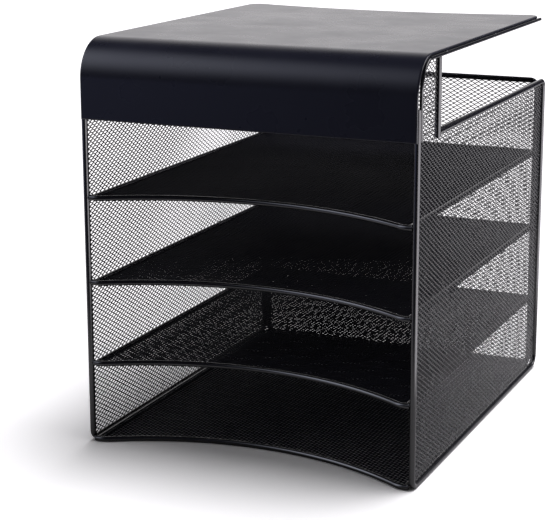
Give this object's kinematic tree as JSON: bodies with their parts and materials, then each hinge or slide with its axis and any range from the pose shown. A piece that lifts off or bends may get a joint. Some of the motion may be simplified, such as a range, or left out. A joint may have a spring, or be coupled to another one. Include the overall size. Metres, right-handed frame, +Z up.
{
  "type": "desk organizer",
  "caption": "Free-standing letter tray tower of wire frames and expanded metal, open at the front, with fixed trays and a bent sheet hood that forms a top shelf.",
  "frame": {"origin": "centre of the whole object's base on the desk", "axes": "+Z up, -Y towards the open front and the fascia, +X to the right as seen from the front"},
  "size_m": [0.254, 0.3124, 0.2976],
  "materials": {
    "hood_coat": "satin black powder coat on smooth sheet",
    "wire_coat": "satin black powder coat on round wire",
    "mesh_coat": "satin black powder coat on expanded metal"
  },
  "bodies": {
    "root": {"left_side_frame": "wire_coat", "left_side_mesh": "mesh_coat", "left_tab_mesh": "mesh_coat", "left_strut": "wire_coat", "hood_left_wire": "wire_coat", "right_side_frame": "wire_coat", "right_side_mesh": "mesh_coat", "right_tab_mesh": "mesh_coat", "right_strut": "wire_coat", "hood_right_wire": "wire_coat", "back_frame": "wire_coat", "back_mesh": "mesh_coat", "bottom_tray_frame": "wire_coat", "bottom_tray_front_wire": "wire_coat", "bottom_tray_mesh": "mesh_coat", "lower_tray_frame": "wire_coat", "lower_tray_front_wire": "wire_coat", "lower_tray_mesh": "mesh_coat", "middle_tray_frame": "wire_coat", "middle_tray_front_wire": "wire_coat", "middle_tray_mesh": "mesh_coat", "upper_tray_frame": "wire_coat", "upper_tray_front_wire": "wire_coat", "upper_tray_mesh": "mesh_coat", "hood_sheet": "hood_coat", "hood_front_cross_wire": "wire_coat", "hood_middle_cross_wire": "wire_coat", "hood_rear_cross_wire": "wire_coat"}
  },
  "joints": []
}
